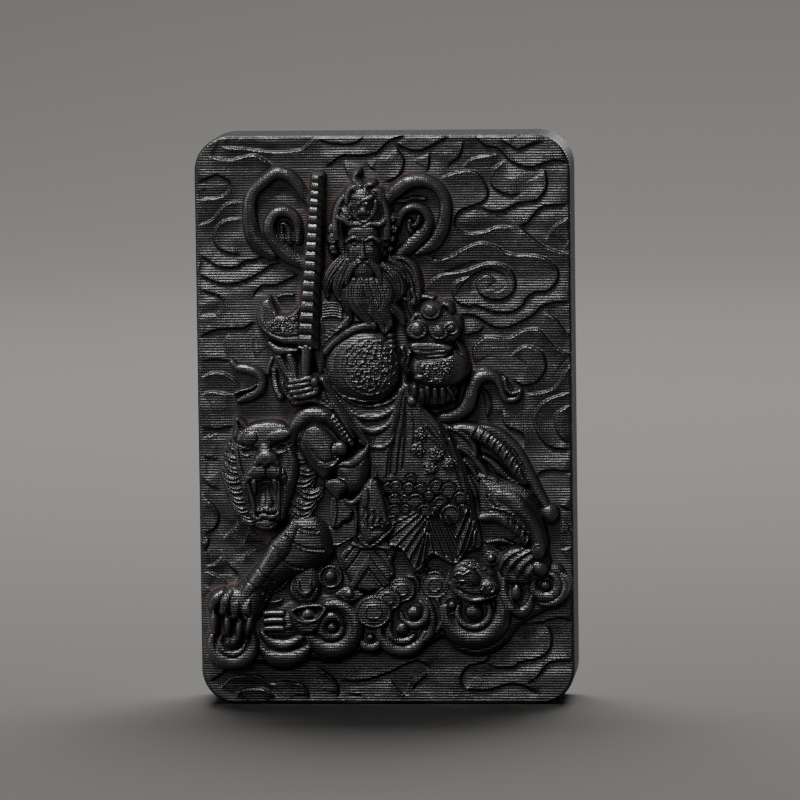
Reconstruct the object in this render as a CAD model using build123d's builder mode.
"""A carved tablet the size of an ink stick: an upright blank with rounded corners, and in relief on its front a
bearded rider in armour on a tiger, over a bank of scroll clouds, coins and ingots, with low clouds behind.

The frame: the tablet stands on its lower edge, +Z up, its front faces -Y, and +X is to the right of someone who
looks at the front. The origin is the middle of the blank's lower face. All sizes are millimetres.

The tablet is carved from one block. Each carved subject is a solid of its own that stands on the ground, which is
the front face of the blank. The subjects are carved from the nearest to the furthest, and each one leaves out
what the nearer ones already cover, so that they meet side by side.
"""

import os

from build123d import *

# Driving dimensions of the blank.
TABLET_WIDTH = 40.0
TABLET_HEIGHT = 61.0
BLANK_THICKNESS = 8.0
CORNER_RADIUS = 3.8
EDGE_CHAMFER = 0.25

# The subjects are drawn on a sheet of this size, which is stretched to the blank.
SHEET_WIDTH = 40.0
SHEET_HEIGHT = 61.0

# How far the layers of the relief stand out from the ground.
SKY_RELIEF = 0.35
BANK_RELIEF = 0.9
RIBBON_RELIEF = 1.3
LOW_RELIEF = 1.6
MIDDLE_RELIEF = 2.0
HIGH_RELIEF = 2.5
FULL_RELIEF = 3.0

# Sizes of the long narrow subjects.
MACE_TOP_WIDTH = 1.2
MACE_FOOT_WIDTH = 2.2
MACE_RINGS = 18
MACE_RING_GROOVE = 0.3
MACE_RING_SHARE = 0.72
SCARF_WIDTH = 1.25
RIBBON_WIDTH = 1.3
TAIL_WIDTH = 1.9
COLLAR_BAND_WIDTH = 0.7

# Sizes of the coins and ingots.
COIN_RADIUS = 1.55
COIN_RIM_WIDTH = 0.3
COIN_RIM_RELIEF = 0.2
INGOT_HEAD_RADIUS = 0.75

GROUND = Plane(origin=(0, -BLANK_THICKNESS / 2, 0), x_dir=(1, 0, 0), z_dir=(0, -1, 0))
STRETCH_X = TABLET_WIDTH / SHEET_WIDTH
STRETCH_Z = TABLET_HEIGHT / SHEET_HEIGHT

shapes_in_front = []


def on_sheet(*points):
    """Points of the sheet, stretched to the blank."""
    return [(x * STRETCH_X, z * STRETCH_Z) for x, z in points]


def write(piece, name):
    """Labels a finished piece and writes it."""
    piece.label = name
    export_step(piece, f"parts/{name}.step")


def soft_shape(*outline):
    """The face inside a smooth closed line through points of the sheet."""
    with BuildSketch() as shape:
        with BuildLine():
            Spline(*on_sheet(*outline), periodic=True)
        make_face()
    return shape.sketch


def straight_shape(*outline):
    """The face inside straight lines between points of the sheet."""
    with BuildSketch() as shape:
        with BuildLine():
            Polyline(*on_sheet(*outline), close=True)
        make_face()
    return shape.sketch


def band_shape(width, *route):
    """A band of one width along a smooth line through points of the sheet."""
    with BuildSketch() as shape:
        with BuildLine():
            Spline(*on_sheet(*route))
        trace(line_width=width)
    return shape.sketch


def round_shape(radius, *middles):
    """Discs of one radius around points of the sheet."""
    with BuildSketch() as shape:
        with Locations(*on_sheet(*middles)):
            Circle(radius)
    return shape.sketch


def uncovered(*shapes):
    """What the shapes cover together and no nearer subject does. What they cover is then covered for the rest."""
    with BuildSketch() as rest:
        for shape in shapes:
            add(shape)
        for nearer in shapes_in_front:
            add(nearer, mode=Mode.SUBTRACT)
    shapes_in_front.extend(shapes)
    return rest.sketch


def carve(name, relief, *shapes):
    """A subject that stands out from the ground by one height, over one or more shapes."""
    visible = uncovered(*shapes)
    with BuildPart() as subject:
        with BuildSketch(GROUND):
            add(visible)
        extrude(amount=relief)
    write(subject.part, name)


os.makedirs("parts", exist_ok=True)

# The blank: a slab with round corners and a small chamfer along every edge.
with BuildPart() as tablet_blank:
    with BuildSketch(Plane.XZ.offset(-BLANK_THICKNESS / 2)):
        with Locations((0, TABLET_HEIGHT / 2)):
            RectangleRounded(TABLET_WIDTH, TABLET_HEIGHT, CORNER_RADIUS)
    extrude(amount=BLANK_THICKNESS)
    front_and_back = tablet_blank.faces().filter_by(Axis.Y)
    chamfer(front_and_back.edges(), EDGE_CHAMFER)
write(tablet_blank.part, "tablet_blank")

# The mace: a tapered rod, its rings standing a little higher than the grooves between them.
MACE_TOP = (-6.65, 56.9)
MACE_FOOT = (-7.85, 38.4)
mace_outline = straight_shape(
    (MACE_TOP[0] - MACE_TOP_WIDTH / 2, MACE_TOP[1]),
    (MACE_TOP[0] + MACE_TOP_WIDTH / 2, MACE_TOP[1]),
    (MACE_FOOT[0] + MACE_FOOT_WIDTH / 2, MACE_FOOT[1]),
    (MACE_FOOT[0] - MACE_FOOT_WIDTH / 2, MACE_FOOT[1]),
)
visible_mace = uncovered(mace_outline)
ring_pitch = (MACE_TOP[1] - MACE_FOOT[1]) / MACE_RINGS
with BuildPart() as mace:
    with BuildSketch(GROUND):
        add(visible_mace)
    extrude(amount=HIGH_RELIEF - MACE_RING_GROOVE)
    with BuildSketch(GROUND):
        for ring in range(MACE_RINGS):
            height = MACE_FOOT[1] + (ring + 0.5) * ring_pitch
            share = (height - MACE_FOOT[1]) / (MACE_TOP[1] - MACE_FOOT[1])
            middle = MACE_FOOT[0] + share * (MACE_TOP[0] - MACE_FOOT[0])
            with Locations(*on_sheet((middle, height))):
                Rectangle(SHEET_WIDTH, ring_pitch * MACE_RING_SHARE * STRETCH_Z)
        add(visible_mace, mode=Mode.INTERSECT)
    extrude(amount=HIGH_RELIEF)
write(mace.part, "ribbed_mace")

# The rider's head: crown, face, side guards and beard.
carve("helmet_crown", FULL_RELIEF, soft_shape(
    (-4.9, 52.4), (-4.2, 54.2), (-3.4, 55.6), (-2.5, 57.2), (-1.6, 56.4), (-0.3, 55.7), (0.5, 54.3), (0.4, 52.1),
    (-1.0, 51.4), (-2.6, 51.2), (-3.8, 51.4),
))
carve("rider_head", HIGH_RELIEF, soft_shape(
    (-3.9, 50.2), (-3.4, 51.9), (-1.8, 52.4), (-0.2, 51.9), (0.2, 50.2), (0.0, 47.9), (-0.8, 46.2), (-1.8, 45.7),
    (-2.9, 46.2), (-3.7, 47.9),
))
carve("helmet_guards", MIDDLE_RELIEF, soft_shape(
    (-4.9, 52.4), (-4.0, 51.6), (-3.6, 49.6), (-3.8, 47.6), (-4.7, 47.4), (-5.7, 48.6), (-5.9, 50.4), (-5.5, 51.8),
), soft_shape(
    (0.2, 51.9), (1.4, 52.8), (2.0, 51.3), (1.8, 49.4), (0.9, 47.9), (0.0, 48.1), (0.2, 50.0),
))
carve("beard", HIGH_RELIEF, soft_shape(
    (-3.7, 48.0), (-5.4, 47.4), (-6.4, 46.4), (-6.1, 44.6), (-4.7, 43.4), (-3.3, 41.3), (-2.0, 40.9), (0.3, 40.2),
    (2.3, 41.0), (3.0, 43.0), (2.5, 45.3), (1.3, 47.2), (0.2, 47.9), (-1.8, 47.6),
))

# What the rider holds: a pot of ingots on the left hand, the mace in the right.
carve("treasure_pot", HIGH_RELIEF, soft_shape(
    (2.9, 38.4), (3.4, 38.9), (5.0, 39.0), (6.7, 38.9), (7.9, 39.3), (8.7, 38.0), (9.1, 36.2), (8.5, 35.0),
    (7.0, 34.3), (5.4, 34.2), (4.1, 34.7), (3.3, 36.1),
))
carve("pot_ingots", HIGH_RELIEF, soft_shape(
    (2.6, 40.5), (3.4, 41.7), (4.1, 42.8), (5.3, 43.8), (6.5, 43.0), (7.5, 42.7), (8.0, 41.4), (8.5, 40.5),
    (7.8, 39.4), (5.6, 38.9), (3.4, 39.2),
))
carve("pot_hand", HIGH_RELIEF, soft_shape(
    (2.8, 34.0), (4.2, 34.7), (5.6, 34.5), (7.3, 34.5), (7.7, 33.7), (6.6, 32.4), (4.8, 32.1), (3.2, 32.7),
))
carve("mace_hand", HIGH_RELIEF, soft_shape(
    (-8.7, 38.5), (-7.3, 38.5), (-7.1, 36.3), (-6.7, 35.1), (-6.8, 33.8), (-7.8, 33.0), (-9.4, 33.0),
    (-10.8, 33.2), (-11.9, 34.1), (-12.3, 36.0), (-11.9, 37.8), (-10.4, 38.8), (-9.4, 37.6),
))

# The rider's armour and clothes.
carve("shoulder_guard", MIDDLE_RELIEF, soft_shape(
    (-12.0, 43.8), (-13.1, 43.2), (-13.4, 41.7), (-12.6, 40.2), (-10.8, 39.1), (-9.0, 39.0), (-8.5, 41.0),
    (-8.8, 42.9), (-10.4, 42.2),
))
carve("collar_band", MIDDLE_RELIEF, band_shape(
    COLLAR_BAND_WIDTH, (-6.2, 38.2), (-4.9, 39.5), (-3.4, 40.4), (-1.8, 40.9), (0.0, 40.8),
))
carve("breastplate", HIGH_RELIEF, soft_shape(
    (-6.1, 36.8), (-5.1, 39.2), (-2.9, 40.8), (-0.6, 40.7), (1.2, 39.3), (2.0, 36.9), (1.5, 34.5), (0.2, 33.1),
    (-1.6, 32.6), (-3.6, 32.9), (-5.3, 34.3),
))
carve("right_sleeve", MIDDLE_RELIEF, soft_shape(
    (-6.5, 44.4), (-5.0, 43.9), (-3.6, 42.0), (-4.2, 40.4), (-5.8, 38.8), (-6.7, 37.0), (-6.7, 35.2),
    (-7.3, 36.4), (-7.2, 39.0), (-6.9, 42.0),
))
carve("left_sleeve", MIDDLE_RELIEF, soft_shape(
    (1.2, 48.0), (2.7, 48.3), (3.9, 47.0), (4.4, 45.0), (4.2, 42.0), (3.4, 40.2), (2.8, 38.4), (3.2, 36.2),
    (2.6, 34.6), (1.6, 35.4), (1.4, 38.8), (0.7, 41.0), (1.0, 44.6),
))
carve("belt_swags", MIDDLE_RELIEF, soft_shape(
    (-6.3, 35.0), (-4.6, 33.4), (-1.6, 32.3), (0.9, 33.2), (1.9, 35.2), (2.3, 33.6), (1.6, 30.8), (0.8, 28.8),
    (-0.4, 27.9), (-1.8, 28.3), (-3.4, 30.6), (-5.2, 33.0),
))
carve("knee_guard", FULL_RELIEF, soft_shape(
    (-9.0, 28.8), (-8.2, 30.5), (-6.8, 31.0), (-5.0, 30.0), (-3.5, 28.8), (-3.6, 27.4), (-4.9, 26.0),
    (-6.6, 25.2), (-8.2, 26.4),
))
carve("thigh_cloth", HIGH_RELIEF, soft_shape(
    (-9.9, 32.2), (-8.2, 33.4), (-6.2, 33.8), (-4.2, 31.9), (-2.4, 29.2), (-1.5, 28.1), (-3.0, 26.8),
    (-4.6, 25.6), (-6.6, 24.8), (-8.9, 25.6), (-9.9, 28.6),
))
carve("boot", HIGH_RELIEF, soft_shape(
    (-1.4, 25.2), (-0.4, 24.2), (0.4, 22.3), (1.0, 20.2), (0.4, 19.0), (-1.2, 18.1), (-2.3, 18.2), (-2.6, 20.2),
    (-2.5, 22.2), (-2.3, 24.0),
))
carve("trouser_leg", MIDDLE_RELIEF, soft_shape(
    (-6.1, 25.4), (-4.0, 26.2), (-1.5, 28.1), (-1.2, 26.2), (-1.8, 24.0), (-3.1, 22.3), (-4.6, 22.4),
    (-5.9, 23.4),
))
carve("robe_apron", MIDDLE_RELIEF, straight_shape(
    (2.2, 34.8), (4.0, 32.4), (5.3, 31.0), (7.5, 28.6), (8.9, 25.2), (9.7, 21.0), (10.3, 17.2), (8.9, 16.9),
    (7.5, 15.7), (6.0, 15.8), (4.2, 14.9), (2.2, 16.2), (0.2, 17.2), (0.9, 20.0), (-1.2, 25.2), (-1.3, 28.2),
    (0.4, 27.9), (1.6, 30.8),
))
carve("hem_flap_left", MIDDLE_RELIEF, straight_shape(
    (-5.7, 22.6), (-3.4, 22.2), (-2.6, 20.0), (-2.5, 18.0), (-3.0, 15.9), (-4.6, 16.2), (-5.1, 17.4),
    (-6.3, 18.2), (-6.2, 19.5), (-5.5, 20.6),
))
carve("hem_flap_front", LOW_RELIEF, straight_shape(
    (-2.6, 18.2), (0.3, 18.2), (1.6, 16.8), (0.7, 14.2), (0.3, 13.9), (-0.9, 13.0), (-2.8, 12.9), (-3.7, 14.1),
))

# The tiger.
carve("tiger_head", FULL_RELIEF, soft_shape(
    (-15.4, 29.6), (-14.0, 30.3), (-12.0, 30.2), (-10.2, 29.9), (-9.2, 28.6), (-8.8, 26.4), (-9.0, 24.4),
    (-9.8, 22.2), (-10.9, 20.2), (-12.2, 19.3), (-13.6, 19.9), (-14.8, 21.6), (-15.6, 24.4), (-15.8, 27.2),
))
carve("tiger_mane", MIDDLE_RELIEF, soft_shape(
    (-15.8, 29.0), (-17.1, 27.6), (-17.8, 25.7), (-17.3, 23.6), (-16.8, 21.4), (-15.4, 20.1), (-13.8, 19.9),
    (-14.8, 22.6), (-15.4, 26.0),
), soft_shape(
    (-8.7, 27.4), (-7.3, 25.6), (-6.5, 24.6), (-6.8, 22.9), (-7.8, 20.9), (-9.2, 20.0), (-10.9, 20.2),
    (-9.6, 22.6), (-9.0, 25.0),
))
carve("tiger_fore_paw", HIGH_RELIEF, soft_shape(
    (-17.4, 12.1), (-18.8, 11.8), (-19.0, 9.8), (-18.2, 8.3), (-16.8, 7.5), (-15.2, 7.3), (-14.6, 8.8),
    (-15.0, 10.6), (-16.2, 11.6),
))
carve("tiger_foreleg", FULL_RELIEF, soft_shape(
    (-8.8, 20.3), (-6.8, 19.9), (-5.7, 18.4), (-5.8, 16.0), (-8.4, 14.4), (-11.6, 12.6), (-13.0, 10.4),
    (-14.3, 8.7), (-16.0, 9.8), (-16.7, 11.6), (-14.5, 13.9), (-12.8, 15.7), (-11.0, 18.4),
))
carve("tiger_tail", MIDDLE_RELIEF, band_shape(
    TAIL_WIDTH, (9.4, 29.4), (11.3, 28.8), (12.9, 27.5), (14.3, 25.6), (15.3, 24.0), (16.5, 22.4), (17.3, 20.8),
))
carve("saddle_cloth", LOW_RELIEF, soft_shape(
    (6.0, 30.6), (7.6, 29.8), (9.4, 28.4), (10.5, 26.6), (11.2, 24.8), (12.2, 24.0), (11.4, 23.4), (10.0, 23.8),
    (9.3, 22.4), (8.8, 25.0), (7.4, 28.4),
))
carve("tiger_haunch", HIGH_RELIEF, soft_shape(
    (9.6, 23.4), (11.2, 24.2), (13.2, 24.0), (15.1, 23.2), (16.2, 21.2), (17.2, 18.4), (17.0, 16.4),
    (15.8, 16.2), (14.6, 17.2), (12.6, 17.6), (10.6, 18.2), (10.0, 20.6),
))
carve("tiger_hind_paw", HIGH_RELIEF, soft_shape(
    (12.6, 17.0), (14.8, 17.2), (16.8, 16.4), (17.5, 15.4), (16.7, 14.4), (15.0, 13.5), (13.4, 13.7),
    (12.5, 15.2),
))
carve("beast_head", HIGH_RELIEF, soft_shape(
    (7.1, 14.8), (8.2, 16.3), (9.6, 16.4), (11.0, 15.4), (12.2, 14.0), (12.0, 12.4), (10.4, 11.7), (9.1, 11.5),
    (8.1, 12.6), (7.0, 13.4),
))

# Coins: discs that overlap like a spread hand of them, each with a raised rim.
coins = {
    "coin_upper": (1.6, 12.5),
    "coin_middle": (0.1, 11.5),
    "coin_lower": (-1.4, 10.0),
    "coin_right": (5.2, 13.1),
}
for name, middle in coins.items():
    visible_coin = uncovered(round_shape(COIN_RADIUS, middle))
    with BuildPart() as coin:
        with BuildSketch(GROUND):
            add(visible_coin)
        extrude(amount=MIDDLE_RELIEF - COIN_RIM_RELIEF)
        with BuildSketch(GROUND):
            add(visible_coin)
            with Locations(*on_sheet(middle)):
                Circle(COIN_RADIUS - COIN_RIM_WIDTH, mode=Mode.SUBTRACT)
        extrude(amount=MIDDLE_RELIEF)
    write(coin.part, name)

# Ingots, round heads in oval boats.
carve("ingot_heads", FULL_RELIEF, round_shape(
    INGOT_HEAD_RADIUS, (-3.7, 12.4), (-5.5, 14.3), (-8.1, 10.2), (7.5, 11.5), (-8.8, 13.1),
))
carve("ingot_boats", MIDDLE_RELIEF, soft_shape(
    (-5.1, 12.3), (-3.7, 13.0), (-2.2, 12.3), (-3.7, 11.7),
), soft_shape(
    (-6.8, 14.6), (-5.5, 15.5), (-4.3, 14.6), (-5.4, 13.2),
), soft_shape(
    (-9.9, 10.4), (-8.1, 11.6), (-6.4, 10.6), (-7.2, 8.7), (-9.0, 8.6),
), soft_shape(
    (6.2, 12.0), (7.4, 13.1), (8.7, 11.4), (7.6, 10.4), (6.5, 10.7),
), soft_shape(
    (-10.4, 12.6), (-8.6, 14.7), (-7.0, 14.0), (-7.2, 12.1), (-9.4, 11.4),
))

# The bank of scroll clouds under the tiger, from left to right, and the bank that they stand on.
cloud_scrolls = {
    "cloud_scroll_paw": ((-18.1, 7.2), (-16.6, 8.4), (-14.4, 7.9), (-13.4, 6.6), (-14.6, 4.9), (-16.6, 4.4),
                         (-18.0, 5.4)),
    "cloud_scroll_left": ((-13.0, 6.8), (-12.4, 9.6), (-10.8, 10.2), (-9.4, 8.3), (-8.3, 7.0), (-9.6, 5.2),
                          (-11.6, 4.9), (-12.8, 5.6)),
    "cloud_scroll_centre": ((-8.0, 7.6), (-6.4, 11.1), (-4.4, 10.8), (-3.1, 8.6), (-3.5, 6.2), (-5.4, 5.0),
                            (-7.4, 5.6)),
    "cloud_scroll_small": ((-2.9, 7.6), (-1.6, 8.3), (-0.3, 7.6), (-0.2, 6.4), (-1.4, 5.6), (-2.7, 6.2)),
    "cloud_scroll_middle": ((0.2, 7.4), (1.4, 9.8), (3.0, 11.4), (4.8, 10.6), (5.0, 8.4), (3.6, 6.9),
                            (1.8, 5.7), (0.6, 6.0)),
    "cloud_scroll_right": ((6.0, 9.8), (8.6, 11.2), (11.4, 11.6), (13.2, 10.6), (12.8, 8.0), (11.0, 6.4),
                           (9.2, 6.0), (6.9, 7.2)),
    "cloud_scroll_hind": ((12.9, 12.2), (14.4, 13.2), (15.7, 12.4), (15.9, 10.6), (14.6, 9.4), (13.4, 10.2)),
    "cloud_scroll_end": ((16.1, 13.4), (17.6, 14.6), (18.9, 13.6), (18.7, 12.0), (17.2, 11.2), (16.1, 11.9)),
}
for name, outline in cloud_scrolls.items():
    carve(name, MIDDLE_RELIEF, soft_shape(*outline))
carve("cloud_bank", BANK_RELIEF, soft_shape(
    (-13.6, 7.6), (-12.6, 11.0), (-10.0, 14.2), (-7.0, 16.2), (-3.2, 17.4), (2.0, 17.8), (7.0, 17.2),
    (12.0, 18.0), (16.8, 16.6), (18.9, 14.4), (17.2, 11.6), (14.0, 9.8), (10.0, 6.6), (6.0, 7.6), (2.0, 6.2),
    (-2.0, 6.4), (-6.0, 5.6), (-10.0, 5.8),
))

# Scarves and ribbons that fly out from the rider.
carve("scarf_left", RIBBON_RELIEF, band_shape(
    SCARF_WIDTH, (-7.7, 54.0), (-8.7, 55.6), (-10.4, 56.9), (-12.2, 56.5), (-13.6, 55.1), (-14.0, 53.0),
    (-13.6, 50.4), (-12.6, 49.0), (-11.4, 48.3),
))
carve("scarf_left_loop", RIBBON_RELIEF, band_shape(
    SCARF_WIDTH, (-8.6, 51.0), (-9.3, 52.3), (-10.5, 52.8), (-11.6, 51.8), (-11.5, 50.2), (-10.2, 48.6),
    (-8.4, 47.2),
))
carve("scarf_right", RIBBON_RELIEF, band_shape(
    SCARF_WIDTH, (0.9, 54.4), (2.2, 55.9), (4.0, 56.4), (5.8, 55.7), (6.6, 54.0), (6.4, 51.4), (5.2, 49.3),
    (4.0, 48.2),
))
carve("scarf_right_loop", RIBBON_RELIEF, band_shape(
    SCARF_WIDTH, (2.1, 51.9), (2.7, 53.1), (3.8, 53.5), (4.7, 52.7), (4.7, 51.2), (3.6, 49.7), (2.4, 48.5),
))
carve("ribbon_left", RIBBON_RELIEF, band_shape(
    RIBBON_WIDTH, (-16.1, 37.0), (-15.2, 36.3), (-14.2, 36.1), (-13.3, 35.2), (-13.6, 34.0), (-14.8, 33.1),
))
carve("ribbon_right", RIBBON_RELIEF, band_shape(
    RIBBON_WIDTH, (6.4, 30.8), (8.2, 31.4), (9.2, 33.0), (9.9, 35.0), (11.3, 35.6), (12.6, 34.6), (13.2, 33.2),
    (14.2, 33.1), (14.7, 34.1),
))

# Low clouds on the sky around the rider.
carve("sky_clouds", SKY_RELIEF, soft_shape(
    (9.9, 45.0), (10.6, 46.7), (12.6, 46.4), (13.6, 45.0), (12.6, 43.9), (11.0, 43.9),
), soft_shape(
    (8.2, 51.8), (9.0, 53.0), (10.8, 53.2), (13.0, 52.4), (14.6, 51.4), (12.0, 50.9), (9.4, 50.7),
), soft_shape(
    (10.2, 37.8), (11.2, 39.2), (13.0, 38.9), (14.8, 40.0), (16.4, 39.8), (17.4, 38.6), (15.6, 38.9),
    (13.4, 37.6), (11.6, 36.9),
), soft_shape(
    (-18.6, 50.0), (-17.8, 51.5), (-15.4, 51.9), (-14.0, 50.4), (-15.4, 48.7), (-17.4, 48.7),
), soft_shape(
    (-18.9, 59.2), (-16.4, 58.9), (-13.2, 59.1), (-12.2, 58.4), (-14.6, 58.0), (-17.6, 57.7),
), soft_shape(
    (11.9, 56.6), (13.2, 58.0), (15.4, 57.2), (16.6, 56.2), (15.4, 54.8), (13.0, 54.9),
))
